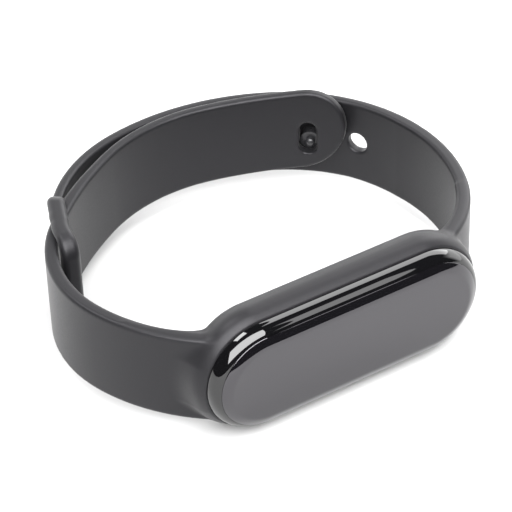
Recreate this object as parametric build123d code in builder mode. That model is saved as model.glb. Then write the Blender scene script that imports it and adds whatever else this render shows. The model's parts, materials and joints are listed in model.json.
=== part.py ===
"""Fitness tracker band, lying on its side.

A pill-shaped tracker capsule is held in a soft strap. The strap is one moulding: a carrier ring
round the capsule, a long arm with a row of holes that ends in a slotted loop, and a short arm that
passes through the loop and runs on inside the long one, where its stud snaps into a hole.

Axes: +X to the right along the capsule, +Y from the glass towards the back of the band, +Z up
along the strap's width. The origin is under the middle of the object, on its resting plane.
"""
import os
from math import cos, radians, sin

from build123d import *

os.makedirs("parts", exist_ok=True)

# ---------------------------------------------------------------- driving dimensions, millimetres
CAPSULE_LENGTH = 46.95      # largest outline, at the seam with the strap
CAPSULE_HEIGHT = 18.15
CAPSULE_BACK = 9.65         # back of the housing, behind the seam
# The glossy side band curves in from the seam to the glass: (depth in front of the seam, inset).
SIDE_BAND = [(0.0, 0.0), (0.8, 0.118), (1.5, 0.461), (2.1, 1.16)]
# The glass rolls over from its edge to its flat front.
GLASS_ROLL = [(2.14, 1.2), (2.45, 1.6), (2.7, 2.2), (2.8, 3.0)]
NECK_INSET = 0.8            # housing behind the seam is this much smaller all round
WALL = 0.9                  # housing wall
# The housing's back draws in towards the wrist: (depth behind the seam, inset of the outline).
BACK_TAPER = [(2.8, 0.8), (5.0, 1.3), (7.2, 2.5), (8.8, 3.8), (9.65, 4.9)]

RING_HALF_HEIGHT = 10.2     # carrier ring round the capsule
RING_FRONT_ROUND = 1.45     # the ring swells from the seam
RING_BACK_ROUND = 5.2       # and rounds away towards the wrist
RING_CROWN = (1.6, 2.1)     # depths behind the seam between which it is widest
RING_FRONT = 0.3            # depth of its front face
RING_RIM = 7.0              # depth of its blunt rear rim
RING_FIT = 0.1              # gap between housing and carrier ring

STRAP_WIDTH = 14.8
STRAP_THICKNESS = 1.9
LOOP_HEIGHT = 18.4          # outside height of the slotted loop
SLOT_HEIGHT = 15.3
SLOT_PLAY = 0.15            # the slot's slanted ends stand this far off the arm that passes through
TAIL_WIDTH = 14.4
TAIL_RISE = 1.5             # how far the inner layer has climbed where the tail begins
TAIL_TILT = 4.0             # degrees, the tail goes on climbing towards its tip

HOLE_RADIUS = 1.75
HOLE_PITCH = 8.2
HOLE_COUNT = 8
RIM_RADIUS = 3.6            # soft rim that gives way as the stud snaps through
STUD_HEAD_RADIUS = 2.7
STUD_SHANK_RADIUS = 1.65
RECESS_RADIUS = 2.85

# The outside faces of the two arms, seen from above, with x and y counted from the middle of the
# capsule's seam: a start point, a heading in degrees, and tangent arcs as (radius, turn).
LONG_ARM = ((16.2, 0.6), 12, [(22, 55), (29, 82), (39, 43), (27, 36), (46, 9), (10, 28), (200, 1.3)])
SHORT_ARM = ((-19.8, 0.8), 146, [(31.4, -38.6), (21.9, -60.8), (53.5, -20.4), (27.5, -39.3), (41.8, -33)])

# Stations along the outside faces, in millimetres from their starts.
STUD_HOLE_STATION = 56.5
LOOP_START = 110.4
LOOP_END = 125.7
SLOT_START = 111.4
SLOT_END = 123.1
CROSSING_STATION = 44.4     # the short arm has come through the slot
TAIL_HINGE_STATION = 85.9
STUD_REACH = 15.0           # from the tail's hinge to the stud
TIP_REACH = 21.3            # from the tail's hinge to the tip

# Middle of the object's footprint, counted from the middle of the capsule's seam.
MIDDLE_X = 0.50
MIDDLE_Y = 26.24

# ---------------------------------------------------------------- reference planes
SEAM_CENTRE = (-MIDDLE_X, -MIDDLE_Y, RING_HALF_HEIGHT)
PLAN = Plane(origin=SEAM_CENTRE)                                        # arms, seen from above
FACE = Plane(origin=SEAM_CENTRE, x_dir=(1, 0, 0), z_dir=(0, -1, 0))     # capsule, seen from the front

NECK_LENGTH = CAPSULE_LENGTH - 2 * NECK_INSET
NECK_HEIGHT = CAPSULE_HEIGHT - 2 * NECK_INSET
CAVITY_INSET = NECK_INSET + WALL


def save(piece, name):
    """Labels a finished piece and writes it."""
    piece.part.label = name
    export_step(piece.part, f"parts/{name}.step")


def pill(inset, depth):
    """The capsule's outline drawn in by inset, depth millimetres in front of the seam."""
    with BuildSketch(FACE.offset(depth)) as outline:
        SlotOverall(CAPSULE_LENGTH - 2 * inset, CAPSULE_HEIGHT - 2 * inset)
    return outline.sketch


def pill_slab(inset, back, front, mode=Mode.ADD):
    """A pill-shaped slab between two depths, added to the part being built."""
    extrude(pill(inset, back), amount=front - back, mode=mode)


def tapered_back(extra, floor):
    """The housing's tapering back as a solid, drawn in by extra and ending at the depth floor."""
    sections = [pill(inset + extra, -depth) for depth, inset in BACK_TAPER[:-1]]
    sections.append(pill(BACK_TAPER[-1][1] + extra, -floor))
    return loft(sections, mode=Mode.PRIVATE)


def slab(name, length, height, back, front, x=0.0, z=0.0, corner=0.3):
    """A flat rectangular piece with rounded corners inside the capsule."""
    with BuildPart() as piece:
        with BuildSketch(FACE.offset(back)):
            with Locations((x, z)):
                RectangleRounded(length, height, corner)
        extrude(amount=front - back)
    save(piece, name)


def disc(name, radius, back, front, centres):
    """Equal round pieces inside the capsule, at centres in the face plane."""
    with BuildPart() as piece:
        with BuildSketch(FACE.offset(back)):
            with Locations(*centres):
                Circle(radius)
        extrude(amount=front - back)
    save(piece, name)


# ---------------------------------------------------------------- paths of the arms
def stretch(path, start, end):
    """The part of a path between two stations, as a path of its own."""
    (x, y), heading, arcs = path
    kept = []
    first = None
    passed = 0.0
    for radius, turn in arcs:
        side = 1 if turn > 0 else -1
        length = radius * radians(abs(turn))
        enter = min(max(start - passed, 0.0), length)
        leave = min(max(end - passed, 0.0), length)
        centre_x = x - side * radius * sin(radians(heading))
        centre_y = y + side * radius * cos(radians(heading))
        if leave > enter:
            if first is None:
                turned = heading + side * enter / radians(radius)
                point = (centre_x + side * radius * sin(radians(turned)),
                         centre_y - side * radius * cos(radians(turned)))
                first = (point, turned)
            kept.append((radius, side * (leave - enter) / radians(radius)))
        heading = heading + turn
        x = centre_x + side * radius * sin(radians(heading))
        y = centre_y - side * radius * cos(radians(heading))
        passed = passed + length
    return first[0], first[1], kept


def station(path, distance):
    """Point and heading on a path, distance millimetres from its start."""
    point, heading, _ = stretch(path, distance, distance + 0.01)
    return point, heading


def inward(path, point, heading, depth):
    """The point depth millimetres inside the outside face."""
    side = 1 if path[2][0][1] > 0 else -1
    return (point[0] - side * depth * sin(radians(heading)),
            point[1] + side * depth * cos(radians(heading)))


def face_line(path, start, end, depth):
    """Draws a stretch of a path, depth millimetres inside the outside face. Returns its ends."""
    point, heading, arcs = stretch(path, start, end)
    first = inward(path, point, heading, depth)
    last = first
    for radius, turn in arcs:
        tangent = (cos(radians(heading)), sin(radians(heading)))
        arc = JernArc(last, tangent, radius - depth, turn)
        last = arc @ 1
        heading = heading + turn
    return first, last


def band(path, start, end, low, high, outer=0.0, inner=STRAP_THICKNESS):
    """A stretch of strap standing between two heights from the strap's middle."""
    with BuildSketch(PLAN.offset(low)) as outline:
        with BuildLine():
            outer_first, outer_last = face_line(path, start, end, outer)
            inner_first, inner_last = face_line(path, start, end, inner)
            Line(outer_first, inner_first)
            Line(outer_last, inner_last)
        make_face()
    return extrude(outline.sketch, amount=high - low, mode=Mode.PRIVATE)


def radial_plane(path, distance, depth=0.0, rise=0.0):
    """A plane tangent to the strap, its normal pointing out of the band and its x along the arm."""
    point, heading = station(path, distance)
    x, y = inward(path, point, heading, depth)
    side = 1 if path[2][0][1] > 0 else -1
    origin = PLAN.from_local_coords(Vector(x, y, rise))
    outwards = (side * sin(radians(heading)), -side * cos(radians(heading)), 0)
    along = (cos(radians(heading)), sin(radians(heading)), 0)
    return Plane(origin=origin, x_dir=along, z_dir=outwards)


HALF_WIDTH = STRAP_WIDTH / 2
HALF_TAIL = TAIL_WIDTH / 2
STUD_PLANE = radial_plane(LONG_ARM, STUD_HOLE_STATION, STRAP_THICKNESS / 2)


# ---------------------------------------------------------------- carrier ring
ROUND_MARGIN = 0.05         # length left flat beyond a rounding


def ring_opening():
    """The room for the capsule's neck and back, cut from the ring."""
    pill_slab(NECK_INSET - RING_FIT, -BACK_TAPER[0][0], 1, mode=Mode.SUBTRACT)
    add(tapered_back(-RING_FIT, CAPSULE_BACK), mode=Mode.SUBTRACT)
    pill_slab(-3.0, -CAPSULE_BACK, -RING_RIM, mode=Mode.SUBTRACT)


with BuildPart() as ring_plug:
    pill_slab(CAPSULE_HEIGHT / 2 - RING_HALF_HEIGHT, -RING_CROWN[1] - RING_BACK_ROUND - ROUND_MARGIN,
              RING_FRONT_ROUND - RING_CROWN[0] + ROUND_MARGIN)
    back_edges = ring_plug.edges().group_by(Axis.Y)[-1]
    front_edges = ring_plug.edges().group_by(Axis.Y)[0]
    fillet(back_edges, RING_BACK_ROUND)
    fillet(front_edges, RING_FRONT_ROUND)
    pill_slab(-3.0, -RING_FRONT, 1.0, mode=Mode.SUBTRACT)

with BuildPart() as carrier_ring:
    add(ring_plug.part)
    ring_opening()
save(carrier_ring, "carrier_ring")

# A bead inside the ring snaps into the housing's groove.
BEAD_BACK = -2.5
BEAD_FRONT = -1.7
BEAD_HEIGHT = 0.4
with BuildPart() as retaining_bead:
    pill_slab(NECK_INSET - RING_FIT, BEAD_BACK, BEAD_FRONT)
    pill_slab(NECK_INSET - RING_FIT + BEAD_HEIGHT, BEAD_BACK, BEAD_FRONT, mode=Mode.SUBTRACT)
save(retaining_bead, "retaining_bead")


# ---------------------------------------------------------------- arms
def root_wedge(side):
    """The thicker root of an arm where it grows out of the ring; side is +1 right, -1 left."""
    with BuildSketch(PLAN.offset(-HALF_WIDTH)) as outline:
        with BuildLine():
            inside = ThreePointArc((side * 21.0, 5.6), (side * 24.8, 7.9), (side * 28.6, 12.6))
            Polyline(inside @ 1, (side * 29.6, 12.4), (side * 24.9, 5.6), (side * 21.0, 2.9), inside @ 0)
        make_face()
    return extrude(outline.sketch, amount=STRAP_WIDTH, mode=Mode.PRIVATE)


with BuildPart() as long_arm:
    add(band(LONG_ARM, 3.0, LOOP_START + 1.0, -HALF_WIDTH, HALF_WIDTH))
    add(root_wedge(1))
    add(band(LONG_ARM, LOOP_START, LOOP_END, -LOOP_HEIGHT / 2, LOOP_HEIGHT / 2, 0.0, 2.1))
    add(ring_plug.part, mode=Mode.SUBTRACT)
    add(band(LONG_ARM, SLOT_START, SLOT_END, -SLOT_HEIGHT / 2, SLOT_HEIGHT / 2, -1.0, 3.5),
        mode=Mode.SUBTRACT)
    add(band(SHORT_ARM, 34, 60, -SLOT_HEIGHT / 2, SLOT_HEIGHT / 2, -SLOT_PLAY, STRAP_THICKNESS + SLOT_PLAY),
        mode=Mode.SUBTRACT)
    for index in range(HOLE_COUNT):
        hole_station = STUD_HOLE_STATION + (index - 1) * HOLE_PITCH
        radius = RIM_RADIUS if index == 1 else HOLE_RADIUS
        hole_plane = radial_plane(LONG_ARM, hole_station, STRAP_THICKNESS / 2)
        with BuildSketch(hole_plane):
            Circle(radius)
        extrude(amount=3, both=True, mode=Mode.SUBTRACT)
save(long_arm, "hole_arm")

# The rim of the hole in use is the soft part that stretches over the stud's head.
with BuildPart() as hole_rim:
    add(band(LONG_ARM, STUD_HOLE_STATION - 6, STUD_HOLE_STATION + 6, -HALF_WIDTH, HALF_WIDTH))
    with BuildSketch(STUD_PLANE):
        Circle(RIM_RADIUS)
        Circle(HOLE_RADIUS, mode=Mode.SUBTRACT)
    extrude(amount=3, both=True, mode=Mode.INTERSECT)
save(hole_rim, "hole_rim")


def climbing_band(start, end):
    """The inner layer's stretch of the short arm, which climbs a little towards the tail."""
    first, _ = station(SHORT_ARM, start)
    last, _ = station(SHORT_ARM, TAIL_HINGE_STATION)
    side_view = Plane(origin=PLAN.from_local_coords(Vector(0, 70, 0)), x_dir=(1, 0, 0), z_dir=(0, -1, 0))
    with BuildSketch(side_view) as outline:
        with BuildLine():
            Polyline((first[0] - 4, -HALF_WIDTH), (first[0], -HALF_WIDTH),
                     (last[0] + 1, TAIL_RISE - HALF_TAIL), (last[0] + 1, TAIL_RISE + HALF_TAIL),
                     (first[0], HALF_WIDTH), (first[0] - 4, HALF_WIDTH), close=True)
        make_face()
    shape = extrude(outline.sketch, amount=60, mode=Mode.PRIVATE)
    return shape & band(SHORT_ARM, start, end, -12, 12)


# The hinge line of the tail stands in the middle of the strap's thickness.
hinge_point, hinge_heading = station(SHORT_ARM, TAIL_HINGE_STATION)
HINGE_XY = inward(SHORT_ARM, hinge_point, hinge_heading, STRAP_THICKNESS / 2)
HINGE_GAP = 0.08

with BuildPart() as short_arm:
    add(band(SHORT_ARM, 0.0, CROSSING_STATION, -HALF_WIDTH, HALF_WIDTH))
    add(root_wedge(-1))
    add(ring_plug.part, mode=Mode.SUBTRACT)
    add(climbing_band(CROSSING_STATION, TAIL_HINGE_STATION - STRAP_THICKNESS / 2 - HINGE_GAP))
save(short_arm, "stud_arm")

# ---------------------------------------------------------------- tail and stud
TAIL_PLANE = radial_plane(SHORT_ARM, TAIL_HINGE_STATION + STUD_REACH, STRAP_THICKNESS, TAIL_RISE)
LAYER_GAP = 0.35            # between the two layers of strap at the stud
TAIL_SLOT = 40.0            # the tail's rounded outline runs on past its hinge

stud_axis_plane = Plane(origin=STUD_PLANE.origin, x_dir=(0, 0, 1), z_dir=STUD_PLANE.z_dir)
HEAD_TOP = STRAP_THICKNESS / 2 + 0.9
TAIL_OUTSIDE = -STRAP_THICKNESS / 2 - LAYER_GAP
FLANGE_BACK = TAIL_OUTSIDE - STRAP_THICKNESS + 0.35

with BuildPart() as strap_tail:
    hinge_centre = PLAN.from_local_coords(Vector(*HINGE_XY, TAIL_RISE - HALF_TAIL))
    with BuildSketch(Plane(origin=hinge_centre)):
        Circle(STRAP_THICKNESS / 2)
    extrude(amount=TAIL_WIDTH)
    add(band(SHORT_ARM, TAIL_HINGE_STATION, TAIL_HINGE_STATION + TIP_REACH + 2, -12, 14))
    with BuildSketch(TAIL_PLANE):
        with Locations((TIP_REACH - STUD_REACH - TAIL_SLOT / 2, 0)):
            SlotOverall(TAIL_SLOT, TAIL_WIDTH, rotation=-TAIL_TILT)
    extrude(amount=12, both=True, mode=Mode.INTERSECT)
    with BuildSketch(stud_axis_plane.offset(FLANGE_BACK)):
        Circle(RECESS_RADIUS)
    extrude(amount=-3, mode=Mode.SUBTRACT)
    with BuildSketch(stud_axis_plane.offset(0)):
        Circle(STUD_SHANK_RADIUS)
    extrude(amount=8, both=True, mode=Mode.SUBTRACT)
save(strap_tail, "strap_tail")

with BuildPart() as stud:
    with BuildSketch(stud_axis_plane.offset(FLANGE_BACK)):
        Circle(STUD_SHANK_RADIUS)
    extrude(amount=HEAD_TOP - FLANGE_BACK)
    with BuildSketch(stud_axis_plane.offset(STRAP_THICKNESS / 2 + 0.08)):
        Circle(STUD_HEAD_RADIUS)
    extrude(amount=0.82)
    with BuildSketch(stud_axis_plane.offset(FLANGE_BACK - 0.5)):
        Circle(RECESS_RADIUS - 0.1)
    extrude(amount=0.5)
    stud_axis = Axis(stud_axis_plane.origin, stud_axis_plane.z_dir)
    fillet(stud.faces().sort_by(stud_axis)[-1].edges(), 0.35)
    fillet(stud.faces().sort_by(stud_axis)[0].edges(), 0.2)
save(stud, "stud")

# ---------------------------------------------------------------- capsule shells
GROOVE_DEPTH = 0.5
WINDOW_RADIUS = 4.2
CONTACT_RADIUS = 1.15
CONTACT_X = (-15.5, 15.5)

with BuildPart() as capsule_housing:
    loft([pill(inset, depth) for depth, inset in SIDE_BAND])
    pill_slab(0, -0.2, 0)
    pill_slab(NECK_INSET, -BACK_TAPER[0][0], -0.2)
    add(tapered_back(0, CAPSULE_BACK))
    pill_slab(CAVITY_INSET, -BACK_TAPER[0][0], 4, mode=Mode.SUBTRACT)
    add(tapered_back(WALL, CAPSULE_BACK - WALL), mode=Mode.SUBTRACT)
    with BuildSketch(FACE.offset(BEAD_BACK - 0.1)):
        SlotOverall(CAPSULE_LENGTH, CAPSULE_HEIGHT)
        SlotOverall(NECK_LENGTH - 2 * GROOVE_DEPTH, NECK_HEIGHT - 2 * GROOVE_DEPTH, mode=Mode.SUBTRACT)
    extrude(amount=BEAD_FRONT - BEAD_BACK + 0.2, mode=Mode.SUBTRACT)
    with BuildSketch(FACE.offset(-CAPSULE_BACK)):
        Circle(WINDOW_RADIUS + 0.03)
        with Locations(*[(x, 0) for x in CONTACT_X]):
            Circle(CONTACT_RADIUS + 0.03)
    extrude(amount=2, mode=Mode.SUBTRACT)
save(capsule_housing, "capsule_housing")

with BuildPart() as cover_glass:
    loft([pill(inset, depth) for depth, inset in GLASS_ROLL], ruled=True)
    pill_slab(CAVITY_INSET + 0.05, 1.75, GLASS_ROLL[0][0])
save(cover_glass, "cover_glass")

with BuildPart() as glass_adhesive:
    pill_slab(CAVITY_INSET + 0.05, 1.55, 1.75)
    with BuildSketch(FACE.offset(1.55)):
        RectangleRounded(31.6, 12.6, 1.5)
    extrude(amount=0.2, mode=Mode.SUBTRACT)
save(glass_adhesive, "glass_adhesive")

# ---------------------------------------------------------------- inside the capsule, front to back
slab("display_panel", 30.5, 12.2, 0.9, 1.7, corner=1.0)
slab("touch_sensor_film", 30.8, 12.4, 1.7, 1.75, corner=1.0)

with BuildPart() as mid_frame:
    pill_slab(CAVITY_INSET + 0.1, 0.1, 0.85)
    with BuildSketch(FACE.offset(0.1)):
        with Locations((-17.2, 0)):
            RectangleRounded(3.0, 7.0, 0.6)
        with Locations((16.6, 0)):
            RectangleRounded(5.0, 5.4, 0.6)
    extrude(amount=0.75, mode=Mode.SUBTRACT)
save(mid_frame, "mid_frame")

with BuildPart() as main_board:
    with BuildSketch(FACE.offset(-0.75)):
        SlotOverall(42.4, 13.6)
        with Locations((16.8, 0)):
            Rectangle(9.8, 6.2, mode=Mode.SUBTRACT)
    extrude(amount=0.75)
save(main_board, "main_board")

slab("processor_chip", 5.0, 5.0, -1.65, -0.75, x=-15.6, z=0.6)
slab("flash_memory_chip", 3.2, 2.4, -1.5, -0.75, x=-10.2, z=3.6, corner=0.15)
slab("motion_sensor_chip", 2.5, 3.0, -1.6, -0.75, x=-10.4, z=-3.4, corner=0.15)
slab("power_chip", 2.2, 2.2, -1.45, -0.75, x=10.6, z=4.9, corner=0.15)
slab("antenna", 9.0, 1.0, -1.1, -0.75, x=2.0, z=5.9, corner=0.3)

slab("battery_tape", 20.0, 8.5, -2.05, -1.85, x=1.0, corner=0.8)
slab("battery_cell", 22.5, 11.4, -6.15, -2.05, x=1.0, corner=1.2)
slab("battery_protection_board", 1.2, 9.0, -5.4, -2.6, x=-11.1, corner=0.2)

# Vibration motor: a can with an eccentric weight on its shaft, its axis along X.
MOTOR_DEPTH = -3.3
CAN_RADIUS = 2.1
CAN_START = 12.8
CAN_LENGTH = 5.0
SHAFT_RADIUS = 0.35
SHAFT_PLAY = 0.03
WEIGHT_RADIUS = 2.0
WEIGHT_START = CAN_START + CAN_LENGTH + 0.3
WEIGHT_LENGTH = 2.0
motor_centre = FACE.offset(MOTOR_DEPTH).origin
motor_end = Plane(origin=motor_centre + Vector(CAN_START, 0, 0), x_dir=(0, 1, 0), z_dir=(1, 0, 0))

with BuildPart() as motor_can:
    with BuildSketch(motor_end):
        Circle(CAN_RADIUS)
    extrude(amount=CAN_LENGTH)
    fillet(motor_can.edges().filter_by(GeomType.CIRCLE), 0.25)
    with BuildSketch(motor_end):
        Circle(SHAFT_RADIUS + SHAFT_PLAY)
    extrude(amount=CAN_LENGTH, mode=Mode.SUBTRACT)
save(motor_can, "motor_can")

with BuildPart() as motor_shaft:
    with BuildSketch(motor_end.offset(0.6)):
        Circle(SHAFT_RADIUS)
    extrude(amount=WEIGHT_START + WEIGHT_LENGTH + 0.2 - CAN_START - 0.6)
save(motor_shaft, "motor_shaft")

with BuildPart() as motor_weight:
    with BuildSketch(motor_end.offset(WEIGHT_START - CAN_START)):
        Circle(WEIGHT_RADIUS)
        with Locations((0, 1.4)):
            Rectangle(6, 1.6, mode=Mode.SUBTRACT)
        Circle(SHAFT_RADIUS + 0.5)
        Circle(SHAFT_RADIUS, mode=Mode.SUBTRACT)
    extrude(amount=WEIGHT_LENGTH)
save(motor_weight, "motor_weight")

with BuildPart() as motor_cradle:
    with BuildSketch(FACE.offset(-7.0)):
        with Locations((CAN_START + CAN_LENGTH / 2, 0)):
            RectangleRounded(CAN_LENGTH - 1.0, 5.6, 0.4)
    extrude(amount=3.7)
    with BuildSketch(motor_end):
        Circle(CAN_RADIUS)
    extrude(amount=CAN_LENGTH, mode=Mode.SUBTRACT)
save(motor_cradle, "motor_cradle")

# Optical sensor behind its window in the back.
disc("sensor_window", WINDOW_RADIUS, -CAPSULE_BACK - 0.25, -8.65, [(0, 0)])

with BuildPart() as sensor_board:
    with BuildSketch(FACE.offset(-7.0)):
        RectangleRounded(22.0, 9.6, 1.0)
    extrude(amount=0.6)
save(sensor_board, "sensor_board")

with BuildPart() as light_baffle:
    with BuildSketch(FACE.offset(-8.6)):
        Circle(3.9)
        with Locations((-2.4, 0), (2.4, 0)):
            Rectangle(1.3, 1.3, mode=Mode.SUBTRACT)
        Rectangle(2.5, 2.9, mode=Mode.SUBTRACT)
    extrude(amount=1.6)
save(light_baffle, "light_baffle")

with BuildPart() as green_leds:
    with BuildSketch(FACE.offset(-7.6)):
        with Locations((-2.4, 0), (2.4, 0)):
            Rectangle(1.1, 1.1)
    extrude(amount=0.6)
save(green_leds, "green_leds")

slab("photodiode", 2.3, 2.6, -7.5, -7.0, corner=0.1)

with BuildPart() as charging_contacts:
    with BuildSketch(FACE.offset(-CAPSULE_BACK)):
        with Locations(*[(x, 0) for x in CONTACT_X]):
            Circle(CONTACT_RADIUS)
    extrude(amount=1.2)
    with BuildSketch(FACE.offset(-CAPSULE_BACK + 1.2)):
        with Locations(*[(x, 0) for x in CONTACT_X]):
            Circle(0.6)
    extrude(amount=0.7)
save(charging_contacts, "charging_contacts")

disc("charger_magnets", 1.6, -8.6, -7.5, [(-9.6, 0), (9.6, 0)])

# Flat cables that join the display and the sensor board to the main board.
with BuildPart() as display_flex:
    with BuildSketch(FACE.offset(0.0)):
        with Locations((-17.2, 0)):
            Rectangle(0.15, 5.6)
    extrude(amount=1.05)
    with BuildSketch(FACE.offset(0.9)):
        with Locations((-16.2, 0)):
            Rectangle(1.9, 5.6)
    extrude(amount=0.15)
save(display_flex, "display_flex")

with BuildPart() as sensor_flex:
    with BuildSketch(FACE.offset(-7.0 + 0.6)):
        with Locations((-12.6, -1.0)):
            Rectangle(3.6, 4.0)
    extrude(amount=0.15)
    with BuildSketch(FACE.offset(-7.0 + 0.75)):
        with Locations((-14.3, -1.0)):
            Rectangle(0.15, 4.0)
    extrude(amount=4.4)
save(sensor_flex, "sensor_flex")

everything = [piece.part for piece in (carrier_ring, long_arm, short_arm, strap_tail, cover_glass)]
size = Compound(children=everything).bounding_box()
print(f"object from {size.min} to {size.max}")
print(f"tail hinge at {PLAN.from_local_coords(Vector(*HINGE_XY, 0))}")
print(f"motor axis through {motor_centre}")
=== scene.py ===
"""Looks of the fitness tracker band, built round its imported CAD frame.

Shapes are worked out in millimetres in the seam frame: x along the capsule from its middle, y from
the seam with the strap towards the back of the band, z up from the strap's middle.
"""
import json
from math import asin, cos, pi, radians, sin, tan

import bmesh
import bpy
import numpy as np
from mathutils import Matrix, Vector


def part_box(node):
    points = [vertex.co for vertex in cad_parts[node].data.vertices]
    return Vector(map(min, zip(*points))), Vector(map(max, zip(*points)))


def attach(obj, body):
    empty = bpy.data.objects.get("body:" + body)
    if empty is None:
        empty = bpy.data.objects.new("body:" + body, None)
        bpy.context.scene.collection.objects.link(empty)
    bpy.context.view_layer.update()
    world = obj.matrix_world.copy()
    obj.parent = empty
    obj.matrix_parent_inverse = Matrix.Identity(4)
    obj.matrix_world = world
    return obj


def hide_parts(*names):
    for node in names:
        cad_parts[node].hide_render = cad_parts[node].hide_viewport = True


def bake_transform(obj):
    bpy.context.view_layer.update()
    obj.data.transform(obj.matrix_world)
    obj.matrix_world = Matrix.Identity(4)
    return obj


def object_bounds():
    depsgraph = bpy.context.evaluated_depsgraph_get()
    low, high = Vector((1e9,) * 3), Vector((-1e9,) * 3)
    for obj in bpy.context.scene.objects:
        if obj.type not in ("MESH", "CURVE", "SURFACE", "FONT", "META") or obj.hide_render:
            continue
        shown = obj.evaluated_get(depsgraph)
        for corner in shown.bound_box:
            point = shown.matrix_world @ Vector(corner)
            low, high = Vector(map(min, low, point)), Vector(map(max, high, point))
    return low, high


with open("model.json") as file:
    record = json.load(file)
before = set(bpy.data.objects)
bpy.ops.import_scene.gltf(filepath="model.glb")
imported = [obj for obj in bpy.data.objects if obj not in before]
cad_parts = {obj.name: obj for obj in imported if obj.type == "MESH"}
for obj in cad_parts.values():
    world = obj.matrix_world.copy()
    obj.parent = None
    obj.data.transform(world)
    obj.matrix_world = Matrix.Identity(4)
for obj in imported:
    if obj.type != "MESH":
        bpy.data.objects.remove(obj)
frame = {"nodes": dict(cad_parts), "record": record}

CAD_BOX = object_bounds()

# ---------------------------------------------------------------- driving dimensions, millimetres
MM = 0.001
HOUSING_LOW, HOUSING_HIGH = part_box("capsule_housing")
SIDE_BAND_DEPTH = 2.1       # the glossy side band stands this far in front of the seam
CAPSULE_LENGTH = (HOUSING_HIGH.x - HOUSING_LOW.x) / MM
CAPSULE_HEIGHT = (HOUSING_HIGH.z - HOUSING_LOW.z) / MM
CAPSULE_BACK = (HOUSING_HIGH.y - HOUSING_LOW.y) / MM - SIDE_BAND_DEPTH
SEAM_CENTRE = Vector(((HOUSING_LOW.x + HOUSING_HIGH.x) / 2, HOUSING_LOW.y + SIDE_BAND_DEPTH * MM,
                      (HOUSING_LOW.z + HOUSING_HIGH.z) / 2))
END_RADIUS = CAPSULE_HEIGHT / 2
END_CENTRE = CAPSULE_LENGTH / 2 - END_RADIUS
# The housing's back draws in towards the wrist: (depth behind the seam, inset of the outline).
BACK_TAPER = [(2.8, 0.8), (5.0, 1.3), (7.2, 2.5), (8.8, 3.8), (9.65, 4.9)]
NECK_INSET = 0.8

RING_SWELL = 10.2 - END_RADIUS      # how far the ring stands out beyond the capsule's outline
RING_RAMP = (0.15, 0.75)            # its front slope: how far it stands out at the seam, and its rise
RING_CROWN = 2.1                    # depth behind the seam where it starts to round away
RING_BACK_ROUND = 5.2
RING_FRONT = 0.12
RING_RIM = 7.0
RING_FIT = 0.1

STRAP_HALF = 7.4
STRAP_THICKNESS = 1.9
STRAP_ROUND = 0.5
STRAP_SWELL = 0.1           # the rounded strap stands this far out of the sharp-edged one in the frame
HOLE_RADIUS = 1.75
STUD_RADIUS = 1.65
HOLE_PITCH = 8.2
HOLE_COUNT = 8
STUD_STATION = 56.5
LOOP = (110.4, 125.7, 9.2, 3.2)     # start, end, half height, corner radius
SLOT = (111.4, 123.1, 7.65, 1.2)
SLOT_PLAY = 0.15
TAIL_HALF = 7.2
TAIL_RISE = 1.5
TAIL_CLIMB = (0.039, 0.0037)     # how the tail goes on climbing: with the reach, and with its square
CLIMB_START = 44.4
TAIL_HINGE = 85.9
STUD_REACH = 15.0
TIP_REACH = 21.3
LAYER_GAP = 0.45            # the faces of the two layers that look at each other stand back this much
LONG_GAP_START = 40         # stations where the two layers' faces begin to stand back
SHORT_GAP_START = 50
GAP_FADE = 10
# The pocket beside the stud: radius, depth, height of its middle, half its straight part.
POCKET = (1.4, 1.45, 1.8, 1.1)
# The loop stands inside its path by these depths at these stations.
LOOP_SET = ([110.4, 113.0, 116.0, 118.5, 121.5, 125.7], [-0.3, -0.1, 0.55, 0.75, 0.3, 0.0])
LOOP_SECTION = (1.15, 1.45, 0.95)   # depth of its middle, half its thickness, the rounding of its edges
LOOP_OVERLAP = 2            # the plain arm runs this far on into the loop
LONG_START = 3.0            # station where the plain long arm begins, inside the ring
PASSAGE = (47, 13)          # the short arm's passage through the slot: its middle station, half its length
STUD_OVERLAP = 0.05         # the tail's hole is this much smaller than the stud

ROOT_HOLLOW_X = (15.71, 15.11)      # middles of the arcs that hollow the right and the left root
ROOT_HOLLOW_Y = 19.62
ROOT_HOLLOW_RADIUS = 15.21
ROOT_DEPTH = 0.5            # the roots begin this far inside the arms' outside faces
ROOT_BACK = 13.0            # and lie in front of this depth behind the seam
ROOT_SIDE = 20.0            # and further out along x than this

# Widths over which the strap's creases are rounded.
CREASE = {"ring": 0.6, "rim": 0.5, "front": 0.12, "room": 0.3, "root": 0.6, "root_edge": 0.8, "loop": 0.5,
          "slot": 0.3, "hole": 0.4, "passage": 0.25, "pocket": 0.6, "long_arm": 0.7}
# The short arm meets the ring softly at mid height and tightly at its edges: heights, widths.
SHORT_ARM_CREASE = ([4.0, 7.0], [3.0, 0.6])

BAND_ELLIPSE = (1.81, 2.25)         # half axes of the side band's curve: inset, depth
GLASS_EDGE = (1.2, SIDE_BAND_DEPTH + 0.02)
# The glass rolls over in arcs: radius, first tilt, last tilt, steps.
GLASS_ROLL = [(0.15, 70, 36.5, 4), (4.6, 36.5, 21, 12), (1.6, 21, 0, 8)]

# Outside faces of the arms: start, heading in degrees, tangent arcs as (radius, turn).
LONG_ARM = ((16.2, 0.6), 12, [(22, 55), (29, 82), (39, 43), (27, 36), (46, 9), (10, 28), (200, 1.3)])
SHORT_ARM = ((-19.8, 0.8), 146, [(31.4, -38.6), (21.9, -60.8), (53.5, -20.4), (27.5, -39.3), (41.8, -33)])


def place(x, y, z):
    """A point of the seam frame, in millimetres, as a point of the row frame in metres."""
    return SEAM_CENTRE + Vector((x, y, z)) * MM


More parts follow.
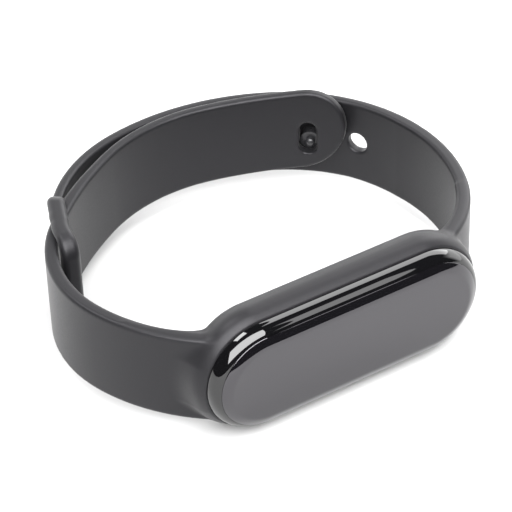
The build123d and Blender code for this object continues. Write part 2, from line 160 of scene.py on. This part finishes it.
def mesh_object(name, vertices, faces):
    """A smooth-shaded object from points in the seam frame."""
    mesh = bpy.data.meshes.new(name)
    mesh.from_pydata([place(*v) for v in vertices], [], faces)
    mesh.validate()
    mesh.shade_smooth()
    piece = bpy.data.objects.new(name, mesh)
    bpy.context.scene.collection.objects.link(piece)
    return piece


# ---------------------------------------------------------------- fields: negative inside a shape
def smooth_max(a, b, width):
    """The larger of two fields, with the crease rounded over width."""
    overlap = np.maximum(width - np.abs(a - b), 0) / width
    return np.maximum(a, b) + overlap * overlap * width / 4


def smooth_min(a, b, width):
    return -smooth_max(-a, -b, width)


def rounded_meet(a, b, radius):
    """Inside both a and b, their common edge rounded to a radius."""
    a = a + radius
    b = b + radius
    return np.hypot(np.maximum(a, 0), np.maximum(b, 0)) + np.minimum(np.maximum(a, b), 0) - radius


def rounded_plate(u, v, window):
    """A rounded rectangle from window's start to its end along u and to its half height along v."""
    start, end, half, corner = window
    return rounded_meet(np.abs(u - (start + end) / 2) - (end - start) / 2, np.abs(v) - half, corner)


PATH_SPARE = 5.0            # a path counts this far beyond its two ends


def along_path(path, x, y):
    """Station along a path's outside face, and depth inside it, for a grid of plan points."""
    (start_x, start_y), heading, arcs = path
    heading = radians(heading)
    best = np.full(np.broadcast(x, y).shape, np.inf)
    stations = np.zeros_like(best)
    depths = np.zeros_like(best)
    passed = 0.0
    for index, (radius, turn) in enumerate(arcs):
        side = 1 if turn > 0 else -1
        sweep = radians(abs(turn))
        centre_x = start_x - side * radius * sin(heading)
        centre_y = start_y + side * radius * cos(heading)
        angle = np.arctan2(y - centre_y, x - centre_x) - (heading - side * pi / 2)
        swept = side * ((angle + pi) % (2 * pi) - pi)
        depth = radius - np.hypot(x - centre_x, y - centre_y)
        spare_before = PATH_SPARE if index == 0 else 0
        spare_after = PATH_SPARE if index == len(arcs) - 1 else 0
        before = -swept * radius - spare_before
        after = (swept - sweep) * radius - spare_after
        beyond = np.maximum(np.maximum(before, after), 0)
        cost = np.abs(depth) + 3 * beyond
        nearer = cost < best
        best = np.where(nearer, cost, best)
        stations = np.where(nearer, passed + swept * radius, stations)
        depths = np.where(nearer, depth, depths)
        heading = heading + side * sweep
        start_x = centre_x + side * radius * sin(heading)
        start_y = centre_y - side * radius * cos(heading)
        passed = passed + radius * sweep
    return stations, depths


def path_point(path, station, depth):
    """Plan point, depth millimetres inside a path's outside face, and the heading there in radians."""
    (x, y), heading, arcs = path
    heading = radians(heading)
    for radius, turn in arcs:
        side = 1 if turn > 0 else -1
        length = radius * radians(abs(turn))
        step = min(station, length)
        centre_x = x - side * radius * sin(heading)
        centre_y = y + side * radius * cos(heading)
        heading = heading + side * step / radius
        x = centre_x + side * radius * sin(heading)
        y = centre_y - side * radius * cos(heading)
        station = station - step
        if station <= 0:
            break
    return x - side * depth * sin(heading), y + side * depth * cos(heading), heading


def surface_net(field, origin, step, keep):
    """Vertices and quads of a field's zero surface on a lattice; keep(cells) picks the cells to use."""
    inside = field < 0
    size = np.array(field.shape) - 1
    corners = [(i, j, k) for i in (0, 1) for j in (0, 1) for k in (0, 1)]
    filled = np.zeros(size, np.uint8)
    for i, j, k in corners:
        filled += inside[i:i + size[0], j:j + size[1], k:k + size[2]]
    cells = np.argwhere((filled > 0) & (filled < 8))
    cells = cells[keep(cells)]
    number = np.full(size, -1, np.int64)
    number[tuple(cells.T)] = np.arange(len(cells))
    total = np.zeros((len(cells), 3))
    crossings = np.zeros(len(cells))
    for corner in corners:
        for axis in range(3):
            if corner[axis]:
                continue
            near = field[tuple((cells + corner).T)]
            far_corner = np.array(corner)
            far_corner[axis] = 1
            far = field[tuple((cells + far_corner).T)]
            crossed = (near < 0) != (far < 0)
            share = near[crossed] / (near[crossed] - far[crossed])
            point = np.tile(np.array(corner, float), (len(share), 1))
            point[:, axis] = share
            total[crossed] += point
            crossings[crossed] += 1
    vertices = origin + step * (cells + total / crossings[:, None])
    quads = []
    for axis in range(3):
        u, v = np.eye(3, dtype=int)[(axis + 1) % 3], np.eye(3, dtype=int)[(axis + 2) % 3]
        lower = np.take(inside, range(inside.shape[axis] - 1), axis)
        upper = np.take(inside, range(1, inside.shape[axis]), axis)
        edges = np.argwhere(lower != upper)
        limits = np.array(number.shape)
        fits = np.all((edges - u - v >= 0) & (edges < limits), axis=1)
        edges = edges[fits]
        quad = np.stack([number[tuple(c.T)] for c in (edges, edges - u, edges - u - v, edges - v)], 1)
        outward = lower[tuple(edges.T)]
        quad = np.where(outward[:, None], quad, quad[:, ::-1])
        quads.append(quad[np.all(quad >= 0, axis=1)])
    return vertices, np.concatenate(quads)


# ---------------------------------------------------------------- the soft strap
STEP = 0.23                                     # lattice of the strap's surface
LATTICE_LOW = np.array([-34.5, -0.69, -10.58])
LATTICE_SHAPE = (304, 250, 93)
SPLIT_CELL = 150                                # the ring is split here, near the capsule's middle
ARMS_CELL = 90                                  # behind this one there are only the two arms


def lattice_axis(axis):
    """The lattice's places along one axis, shaped to combine with the other two."""
    shape = [1, 1, 1]
    shape[axis] = -1
    return LATTICE_LOW[axis] + STEP * np.arange(LATTICE_SHAPE[axis]).reshape(shape)


X, Y, Z = [lattice_axis(axis) for axis in range(3)]
OUTLINE = np.hypot(np.maximum(np.abs(X) - END_CENTRE, 0), Z) - END_RADIUS   # distance outside the capsule
LONG_STATION, LONG_DEPTH = along_path(LONG_ARM, X, Y)
SHORT_STATION, SHORT_DEPTH = along_path(SHORT_ARM, X, Y)


def capsule_room():
    """The opening in the ring that the capsule's neck and back fill."""
    depths = [0.0] + [depth for depth, _ in BACK_TAPER]
    insets = [NECK_INSET] + [inset for _, inset in BACK_TAPER]
    return np.maximum(OUTLINE + np.interp(Y, depths, insets) - RING_FIT, Y - CAPSULE_BACK - 1)


def ring_body():
    """The carrier ring as a solid plug: sloping up from the seam to its crown, then round to the rim."""
    start, rise = RING_RAMP
    ramp = (OUTLINE - start - rise * Y) / (1 + rise ** 2) ** 0.5
    past_crown = np.maximum(Y - RING_CROWN, 0)
    outer = np.hypot(past_crown, np.maximum(OUTLINE - (RING_SWELL - RING_BACK_ROUND), 0)) - RING_BACK_ROUND
    return smooth_max(smooth_max(outer, ramp, CREASE["ring"]), Y - RING_RIM, CREASE["rim"])


def root_fill(depth):
    """The thicker root where an arm grows out of the ring, hollowed by an arc on the wrist's side."""
    hollow_x = np.where(X > 0, *ROOT_HOLLOW_X)
    hollow = ROOT_HOLLOW_RADIUS - np.hypot(np.abs(X) - hollow_x, Y - ROOT_HOLLOW_Y)
    limits = np.maximum(np.maximum(ROOT_DEPTH - depth, Y - ROOT_BACK), ROOT_SIDE - np.abs(X))
    return smooth_max(np.maximum(hollow, limits), np.abs(Z) - STRAP_HALF, CREASE["root_edge"])


def carved(solid):
    """Cuts the capsule's room and the flat front from the ring with its arms."""
    solid = smooth_max(solid, RING_FRONT - Y, CREASE["front"])
    return smooth_max(solid, -capsule_room(), CREASE["room"])


def long_arm_field():
    inner = STRAP_THICKNESS + STRAP_SWELL
    inner = inner - LAYER_GAP * np.clip((LONG_STATION - LONG_GAP_START) / GAP_FADE, 0, 1)
    thickness = np.maximum(-STRAP_SWELL - LONG_DEPTH, LONG_DEPTH - inner)
    reach = np.maximum(LONG_START - LONG_STATION, LONG_STATION - LOOP[0] - LOOP_OVERLAP)
    arm = rounded_meet(thickness, np.abs(Z) - STRAP_HALF - STRAP_SWELL, STRAP_ROUND)
    arm = np.maximum(arm, reach)
    plate = rounded_plate(LONG_STATION, Z, LOOP)
    slot = rounded_plate(LONG_STATION, Z, SLOT)
    loop_depth = LONG_DEPTH - np.interp(LONG_STATION, *LOOP_SET)
    middle, half, rounding = LOOP_SECTION
    slotted_plate = smooth_max(plate, -slot, CREASE["slot"])
    loop = rounded_meet(slotted_plate, np.abs(loop_depth - middle) - half, rounding)
    solid = smooth_min(arm, loop, CREASE["loop"])
    for index in range(HOLE_COUNT):
        station = STUD_STATION + (index - 1) * HOLE_PITCH
        hole = np.hypot(LONG_STATION - station, Z) - HOLE_RADIUS
        solid = smooth_max(solid, -hole, CREASE["hole"])
    passing = np.maximum(np.abs(SHORT_DEPTH - STRAP_THICKNESS / 2) - STRAP_THICKNESS / 2 - SLOT_PLAY,
                         np.abs(Z) - SLOT[2])
    passing = np.maximum(passing, np.abs(SHORT_STATION - PASSAGE[0]) - PASSAGE[1])
    solid = smooth_max(solid, -passing, CREASE["passage"])
    solid = smooth_min(solid, root_fill(LONG_DEPTH), CREASE["root"])
    return carved(smooth_min(solid, ring_body(), CREASE["long_arm"]))


def short_arm_field():
    tip = TAIL_HINGE + TIP_REACH
    past_hinge = np.maximum(SHORT_STATION - TAIL_HINGE, 0)
    climb = np.interp(SHORT_STATION, [CLIMB_START, TAIL_HINGE], [0, TAIL_RISE])
    climb = climb + TAIL_CLIMB[0] * past_hinge + TAIL_CLIMB[1] * past_hinge ** 2
    half = np.interp(SHORT_STATION, [CLIMB_START, TAIL_HINGE], [STRAP_HALF, TAIL_HALF])
    outline = np.hypot(np.maximum(SHORT_STATION - (tip - TAIL_HALF), 0), Z - climb) - half - STRAP_SWELL
    outer = -STRAP_SWELL + LAYER_GAP * np.clip((SHORT_STATION - SHORT_GAP_START) / GAP_FADE, 0, 1)
    thickness = np.maximum(outer - SHORT_DEPTH, SHORT_DEPTH - STRAP_THICKNESS - STRAP_SWELL)
    solid = np.maximum(rounded_meet(outline, thickness, STRAP_ROUND), -SHORT_STATION)
    past_stud = SHORT_STATION - (TAIL_HINGE + STUD_REACH)
    radius, depth, middle, straight = POCKET
    pocket = np.hypot(past_stud, np.maximum(np.abs(Z - middle) - straight, 0)) - radius
    pocket = np.maximum(pocket, STRAP_THICKNESS - depth - SHORT_DEPTH)
    solid = smooth_max(solid, -pocket, CREASE["pocket"])
    solid = np.maximum(solid, STUD_RADIUS - STUD_OVERLAP - np.hypot(past_stud, Z))
    solid = smooth_min(solid, root_fill(SHORT_DEPTH), CREASE["root"])
    return carved(smooth_min(solid, ring_body(), np.interp(np.abs(Z), *SHORT_ARM_CREASE)))


def cap_openings(piece):
    """Closes the flat splits of a strap piece, their edges kept sharp so that the surface stays smooth."""
    work = bmesh.new()
    work.from_mesh(piece.data)
    rim = [edge for edge in work.edges if edge.is_boundary]
    for edge in rim:
        edge.smooth = False
    bmesh.ops.holes_fill(work, edges=rim, sides=0)
    bmesh.ops.recalc_face_normals(work, faces=work.faces)
    work.to_mesh(piece.data)
    work.free()


def strap_part(name, field, keep):
    """One of the strap's pieces. Neighbours share the row of cells at their split, so they meet exactly."""
    vertices, quads = surface_net(field, LATTICE_LOW, STEP, keep)
    piece = mesh_object(name, vertices.tolist(), quads.tolist())
    cap_openings(piece)
    finish_piece(piece, "strap_elastomer")
    return piece


def right_part(cells):
    return (cells[:, 0] >= SPLIT_CELL) | (cells[:, 1] > ARMS_CELL)


def left_root(cells):
    return (cells[:, 0] <= SPLIT_CELL) & (cells[:, 1] <= ARMS_CELL)


def behind_root(cells):
    return cells[:, 1] >= ARMS_CELL


# ---------------------------------------------------------------- swept and turned pieces
def pill_ring(inset, depth, segments=48):
    """Points round the capsule's outline, drawn in by inset, depth millimetres in front of the seam."""
    points = []
    radius = END_RADIUS - inset
    for side, start in ((1, pi / 2), (-1, 3 * pi / 2)):
        for index in range(segments + 1):
            angle = start - pi * index / segments
            points.append((side * END_CENTRE + radius * cos(angle), -depth, radius * sin(angle)))
    return points


def pill_sweep(name, profile):
    """A closed piece from a profile of (inset, depth) taken round the capsule's outline."""
    rings = [pill_ring(inset, depth) for inset, depth in profile]
    count = len(rings[0])
    faces = [tuple(range(count))]
    for level in range(len(rings) - 1):
        for index in range(count):
            following = (index + 1) % count
            faces.append((level * count + following, level * count + index,
                          (level + 1) * count + index, (level + 1) * count + following))
    faces.append(tuple(reversed(range((len(rings) - 1) * count, len(rings) * count))))
    piece = mesh_object(name, [point for ring in rings for point in ring], faces)
    work = bmesh.new()
    work.from_mesh(piece.data)
    bmesh.ops.recalc_face_normals(work, faces=work.faces)
    work.to_mesh(piece.data)
    work.free()
    return piece


def side_band(steps=20):
    """The glossy band from the seam to the glass: an ellipse that leaves the seam straight forwards."""
    last = asin(SIDE_BAND_DEPTH / BAND_ELLIPSE[1])
    angles = [last * index / steps for index in range(steps + 1)]
    return [(BAND_ELLIPSE[0] * (1 - cos(angle)), BAND_ELLIPSE[1] * sin(angle)) for angle in angles]


def rolled(start, radius, first_tilt, last_tilt, steps):
    """Points of an arc whose surface leans from one tilt to another, in degrees from the flat front."""
    points = []
    for index in range(1, steps + 1):
        tilt = radians(first_tilt + (last_tilt - first_tilt) * index / steps)
        inset = start[0] + radius * (sin(radians(first_tilt)) - sin(tilt))
        depth = start[1] + radius * (cos(tilt) - cos(radians(first_tilt)))
        points.append((inset, depth))
    return points


def turned(name, profile, origin, axis, segments=72):
    """A lathe-turned piece: profile is (radius, height along the axis) from one end to the other."""
    vertices = []
    faces = []
    turn = Vector((0, 0, 1)).rotation_difference(axis).to_matrix()
    for radius, height in profile:
        for index in range(segments):
            angle = 2 * pi * index / segments
            spoke = Vector((radius * cos(angle), radius * sin(angle), height))
            vertices.append(Vector(origin) + turn @ spoke)
    for level in range(len(profile) - 1):
        for index in range(segments):
            following = (index + 1) % segments
            faces.append((level * segments + index, level * segments + following,
                          (level + 1) * segments + following, (level + 1) * segments + index))
    faces.append(tuple(reversed(range(segments))))
    faces.append(tuple(range((len(profile) - 1) * segments, len(profile) * segments)))
    return mesh_object(name, vertices, faces)


def sharpen(piece, angle):
    """Marks edges sharper than an angle in degrees, so that flats and bevels shade apart."""
    piece.data.set_sharp_from_angle(angle=radians(angle))


def capsule_shell():
    """The housing: tapering back, neck, glossy side band, and a wall 0.9 mm thick inside."""
    outside = [(6.2, -CAPSULE_BACK), (5.2, -CAPSULE_BACK + 0.08)]
    outside += [(inset, -depth) for depth, inset in reversed(BACK_TAPER[:-1])]
    outside += [(NECK_INSET, -0.25), (0.08, -0.2), (0.0, -0.1)]
    outside += side_band()
    inside = [(outside[-1][0] + 0.02, SIDE_BAND_DEPTH - 0.08), (1.75, SIDE_BAND_DEPTH - 0.1), (1.75, -2.8)]
    inside += [(inset + 0.95, -depth) for depth, inset in BACK_TAPER[1:-1]]
    inside += [(6.0, -CAPSULE_BACK + 0.9)]
    return pill_sweep("capsule_shell", outside + inside)


def glass():
    """The cover glass: a flat front that rolls over to a thin edge."""
    profile = [(1.8, 1.6), (1.8, SIDE_BAND_DEPTH - 0.04), (1.22, SIDE_BAND_DEPTH - 0.02), GLASS_EDGE]
    for radius, first_tilt, last_tilt, steps in GLASS_ROLL:
        profile += rolled(profile[-1], radius, first_tilt, last_tilt, steps)
    return pill_sweep("domed_cover_glass", profile)


def stud_piece():
    """The stud through the hole in use: a small knob inside, the shank, and a domed head outside."""
    x, y, heading = path_point(LONG_ARM, STUD_STATION, STRAP_THICKNESS / 2)
    outwards = Vector((sin(heading), -cos(heading), 0))
    knob = [(0.01, -3.12), (0.3, -3.09), (0.55, -3.0), (0.74, -2.84), (0.82, -2.62), (0.74, -2.4),
            (0.6, -2.2)]
    shank = [(0.62, -2.1), (STUD_RADIUS, -2.06), (STUD_RADIUS, 0.8)]
    head = [(1.8, 0.98), (2.2, 1.03), (2.5, 1.04), (2.66, 1.14), (2.7, 1.3), (2.62, 1.48), (2.35, 1.66),
            (1.9, 1.78), (1.2, 1.86), (0.5, 1.89), (0.01, 1.9)]
    return turned("snap_stud", knob + shank + head, (x, y, 0), outwards)


def window_piece():
    """The optical sensor's window, slightly domed, in the middle of the back."""
    body = [(0.01, 8.65), (4.1, 8.65), (4.18, 8.75), (4.18, CAPSULE_BACK - 0.05)]
    dome = [(4.05, 0.06), (3.5, 0.14), (2.5, 0.2), (1.2, 0.24), (0.01, 0.25)]
    profile = body + [(radius, CAPSULE_BACK + rise) for radius, rise in dome]
    return turned("domed_sensor_window", profile, (0, 0, 0), Vector((0, 1, 0)))


# ---------------------------------------------------------------- materials
def node_material(name):
    material = bpy.data.materials.new(name)
    material.use_nodes = True
    nodes = material.node_tree.nodes
    shader = nodes["Principled BSDF"]
    position = nodes.new("ShaderNodeTexCoord")
    return material, material.node_tree, shader, position.outputs["Object"]


def noise(tree, position, scale, detail=3.0):
    texture = tree.nodes.new("ShaderNodeTexNoise")
    texture.inputs["Scale"].default_value = scale
    texture.inputs["Detail"].default_value = detail
    tree.links.new(position, texture.inputs["Vector"])
    return texture.outputs["Fac"]


def ranged(tree, value, low, high, from_low=0.3, from_high=0.7):
    """A value spread over a new range."""
    spread = tree.nodes.new("ShaderNodeMapRange")
    spread.inputs["From Min"].default_value = from_low
    spread.inputs["From Max"].default_value = from_high
    spread.inputs["To Min"].default_value = low
    spread.inputs["To Max"].default_value = high
    tree.links.new(value, spread.inputs["Value"])
    return spread.outputs["Result"]


def blended(tree, factor, first, second):
    mix = tree.nodes.new("ShaderNodeMix")
    mix.data_type = "RGBA"
    for socket, colour in ((mix.inputs[6], first), (mix.inputs[7], second)):
        if isinstance(colour, tuple):
            socket.default_value = (*colour, 1.0)
        else:
            tree.links.new(colour, socket)
    tree.links.new(factor, mix.inputs[0])
    return mix.outputs[2]


def bumped(tree, shader, height, strength, distance):
    bump = tree.nodes.new("ShaderNodeBump")
    bump.inputs["Strength"].default_value = strength
    bump.inputs["Distance"].default_value = distance
    tree.links.new(height, bump.inputs["Height"])
    tree.links.new(bump.outputs["Normal"], shader.inputs["Normal"])


def product(tree, first, second):
    times = tree.nodes.new("ShaderNodeMath")
    times.operation = "MULTIPLY"
    tree.links.new(first, times.inputs[0])
    tree.links.new(second, times.inputs[1])
    return times.outputs[0]


def specks(tree, position, scale, size):
    """A few tiny dust grains: small spots round the points of a Voronoi texture."""
    cells = tree.nodes.new("ShaderNodeTexVoronoi")
    cells.inputs["Scale"].default_value = scale
    tree.links.new(position, cells.inputs["Vector"])
    near = ranged(tree, cells.outputs["Distance"], 1.0, 0.0, size * 0.7, size)
    rare = ranged(tree, cells.outputs["Color"], 0.0, 1.0, 0.78, 0.8)
    return product(tree, near, rare)


DUST_COLOUR = (0.55, 0.55, 0.55)


def surface(name, dark, light, rough, metallic=0.0, ior=1.5, scale=900.0, grain=0.15, depth=0.00002,
            dust=None, gleam=(1.0, 1.0, 1.0), sheen=0.0):
    """A procedural finish: colour and roughness vary over the surface, with a fine grain and, where
    dust gives the scale and size of its grains, a few of those. Gleam tints the reflections."""
    material, tree, shader, position = node_material(name)
    cloud = noise(tree, position, scale)
    colour = blended(tree, cloud, dark, light)
    if dust:
        colour = blended(tree, specks(tree, position, *dust), colour, DUST_COLOUR)
    tree.links.new(colour, shader.inputs["Base Color"])
    tree.links.new(ranged(tree, noise(tree, position, scale * 2.3), *rough), shader.inputs["Roughness"])
    shader.inputs["Metallic"].default_value = metallic
    shader.inputs["IOR"].default_value = ior
    shader.inputs["Specular Tint"].default_value = (*gleam, 1.0)
    shader.inputs["Sheen Weight"].default_value = sheen
    shader.inputs["Sheen Roughness"].default_value = 0.4
    if grain:
        bumped(tree, shader, noise(tree, position, scale * 9, 2.0), grain, depth)
    return material


MATERIALS = {
    "strap_elastomer": surface("soft_touch_elastomer", (0.0056, 0.0054, 0.0064), (0.0066, 0.0064, 0.0074),
                               (0.43, 0.48), ior=1.38, scale=1500.0, grain=0.12, depth=0.000004,
                               dust=(260.0, 0.026), gleam=(0.97, 0.96, 1.0), sheen=0.06),
    "black_moulding": surface("satin_moulding", (0.012, 0.012, 0.013), (0.02, 0.02, 0.022), (0.27, 0.32),
                              grain=0.05, depth=0.000004),
    "glossy_shell": surface("gloss_shell", (0.0012, 0.0012, 0.0014), (0.002, 0.002, 0.0024), (0.014, 0.02),
                            ior=1.62, grain=0.0, dust=(330.0, 0.03)),
    "cover_glass": surface("cover_glass", (0.0016, 0.0015, 0.002), (0.0022, 0.002, 0.0026), (0.014, 0.022),
                           ior=1.78, grain=0.0, dust=(300.0, 0.024), gleam=(0.97, 0.945, 1.0)),
    "black_adhesive": surface("black_adhesive", (0.015, 0.015, 0.015), (0.025, 0.025, 0.025), (0.6, 0.75)),
    "display": surface("display_stack", (0.006, 0.007, 0.012), (0.012, 0.012, 0.02), (0.1, 0.16), grain=0.0),
    "circuit_board": surface("solder_mask", (0.01, 0.07, 0.03), (0.02, 0.11, 0.05), (0.3, 0.42),
                             scale=1800.0),
    "chip": surface("chip_package", (0.018, 0.018, 0.018), (0.032, 0.032, 0.032), (0.45, 0.6), scale=2400.0),
    "battery_foil": surface("battery_foil", (0.5, 0.5, 0.52), (0.66, 0.66, 0.68), (0.28, 0.4), metallic=0.9),
    "steel": surface("plain_steel", (0.48, 0.48, 0.5), (0.62, 0.62, 0.64), (0.25, 0.4), metallic=1.0),
    "seal_rubber": surface("seal_rubber", (0.02, 0.02, 0.02), (0.035, 0.035, 0.035), (0.7, 0.85)),
    "led": surface("led_lens", (0.2, 0.62, 0.3), (0.35, 0.85, 0.45), (0.12, 0.22), scale=3000.0),
    "gold_contact": surface("gold_plating", (0.72, 0.5, 0.2), (0.86, 0.64, 0.3), (0.18, 0.3), metallic=1.0),
    "flex_cable": surface("flex_film", (0.45, 0.2, 0.04), (0.6, 0.32, 0.08), (0.3, 0.42), scale=1500.0),
}


def finish_piece(piece, slot_name):
    piece.data.materials.clear()
    piece.data.materials.append(MATERIALS[slot_name])


for subpart in frame["record"]["subparts"]:
    node = frame["nodes"][subpart["node"]]
    node.data.materials.clear()
    node.data.materials.append(MATERIALS[subpart["material_slot"]])

# ---------------------------------------------------------------- pieces
long_piece = strap_part("strap_long_arm", long_arm_field(), right_part)
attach(long_piece, "strap")
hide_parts("carrier_ring", "retaining_bead", "hole_arm", "hole_rim")

# The ring's left part is a piece of its own, split off from the short arm where only the two arms lie behind
# it; it goes with the strap.
short_field = short_arm_field()
root_piece = strap_part("strap_short_root", short_field, left_root)
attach(root_piece, "strap")
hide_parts("stud_arm")

short_piece = strap_part("strap_short_arm", short_field, behind_root)
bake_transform(short_piece)
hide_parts("strap_tail")

stud_object = stud_piece()
sharpen(stud_object, 50)
finish_piece(stud_object, "black_moulding")
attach(stud_object, "tail")
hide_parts("stud")

shell_object = capsule_shell()
sharpen(shell_object, 35)
finish_piece(shell_object, "glossy_shell")
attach(shell_object, "module")
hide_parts("capsule_housing")

glass_object = glass()
sharpen(glass_object, 50)
finish_piece(glass_object, "cover_glass")
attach(glass_object, "module")
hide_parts("cover_glass")

window_object = window_piece()
sharpen(window_object, 50)
finish_piece(window_object, "glossy_shell")
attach(window_object, "module")
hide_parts("sensor_window")

# ---------------------------------------------------------------- studio, metres
FLOOR_HALF = 0.9
SOFTBOX_DISTANCE = 0.8
SOFTBOXES = [       # name, along, around, width, height in degrees, radiance
    ("front_key", -14.5, 124, 70, 50, 11.0),
    ("back_left_fill", -14, 63, 20, 20, 12.0),
    ("back_strip", 43, 63, 43, 33, 5.0),
    ("front_strip", 25.0, 129, 6.4, 33, 3.2),
]


def floor_material():
    material, tree, shader, position = node_material("studio_floor")
    colour = blended(tree, noise(tree, position, 12.0), (0.5, 0.5, 0.5), (0.52, 0.52, 0.52))
    tree.links.new(colour, shader.inputs["Base Color"])
    shader.inputs["Roughness"].default_value = 0.7
    shader.inputs["Specular IOR Level"].default_value = 0.2
    return material


def softbox(name, along, around, width, height, radiance, aim):
    """A soft box seen from aim at two angles: along leans towards +x, and around turns about the
    x axis from the back over the top to the front. Width and height are its angles that same way."""
    along, around = radians(along), radians(around)
    towards = Vector((sin(along), cos(along) * cos(around), cos(along) * sin(around)))
    across = Vector((cos(along), -sin(along) * cos(around), -sin(along) * sin(around)))
    lamp = bpy.data.lights.new(name, "AREA")
    lamp.shape = "RECTANGLE"
    lamp.size = 2 * SOFTBOX_DISTANCE * tan(radians(width / 2))
    lamp.size_y = 2 * SOFTBOX_DISTANCE * tan(radians(height / 2))
    lamp.energy = radiance * pi * lamp.size * lamp.size_y
    holder = bpy.data.objects.new(name, lamp)
    placement = Matrix((across, towards.cross(across), towards)).transposed().to_4x4()
    placement.translation = aim + towards * SOFTBOX_DISTANCE
    holder.matrix_world = placement
    bpy.context.scene.collection.objects.link(holder)


def facing(tree, direction, axis):
    """How far a direction leans along an axis: the cosine of the angle between them."""
    dot = tree.nodes.new("ShaderNodeVectorMath")
    dot.operation = "DOT_PRODUCT"
    dot.inputs[1].default_value = axis
    tree.links.new(direction, dot.inputs[0])
    return dot.outputs["Value"]


def dim_room():
    """The room round the table: dark, with a bright backdrop low down behind and on the right."""
    world = bpy.data.worlds.new("studio_room")
    bpy.context.scene.world = world
    world.use_nodes = True
    tree = world.node_tree
    place_in_room = tree.nodes.new("ShaderNodeTexCoord")
    seen = place_in_room.outputs["Generated"]
    backdrop = ranged(tree, facing(tree, seen, (0.6, 0.8, 0.0)), 0.0, 1.0, 0.15, 0.4)
    low = ranged(tree, facing(tree, seen, (0.0, 0.0, 1.0)), 1.0, 0.0, 0.35, 0.58)
    tree.links.new(blended(tree, product(tree, backdrop, low), (0.08, 0.08, 0.084), (3.0, 3.0, 3.0)),
                   tree.nodes["Background"].inputs["Color"])


def studio():
    floor_mesh = bpy.data.meshes.new("studio_floor")
    floor_mesh.from_pydata([(-FLOOR_HALF, -FLOOR_HALF, 0), (FLOOR_HALF, -FLOOR_HALF, 0),
                            (FLOOR_HALF, FLOOR_HALF, 0), (-FLOOR_HALF, FLOOR_HALF, 0)], [], [(0, 1, 2, 3)])
    floor = bpy.data.objects.new("studio_floor", floor_mesh)
    floor_mesh.materials.append(floor_material())
    bpy.context.scene.collection.objects.link(floor)
    centre = (CAD_BOX[0] + CAD_BOX[1]) / 2
    for name, *numbers in SOFTBOXES:
        softbox(name, *numbers, centre)
    dim_room()


def photograph():
    """The camera, at its angle round the capsule: it looks down from the left of the glass."""
    azimuth, elevation, roll = radians(-31.05), radians(38.3), -0.034
    aim = place(-14.532, 0, 21.306)
    distance = 338.8
    back = Vector((sin(azimuth) * cos(elevation), -cos(azimuth) * cos(elevation), sin(elevation)))
    right = (-back).cross(Vector((0, 0, 1))).normalized()
    up = right.cross(-back)
    camera_x = right * cos(roll) + up * sin(roll)
    camera_y = up * cos(roll) - right * sin(roll)
    camera = bpy.data.objects.new("camera", bpy.data.cameras.new("camera"))
    camera.data.lens = 171.37
    camera.data.sensor_width = 36.0
    camera.data.clip_start = 0.01
    placement = Matrix((camera_x, camera_y, back)).transposed().to_4x4()
    placement.translation = aim + back * distance * MM
    camera.matrix_world = placement
    bpy.context.scene.collection.objects.link(camera)
    bpy.context.scene.camera = camera


studio()
photograph()
bpy.context.scene.view_settings.view_transform = "Standard"
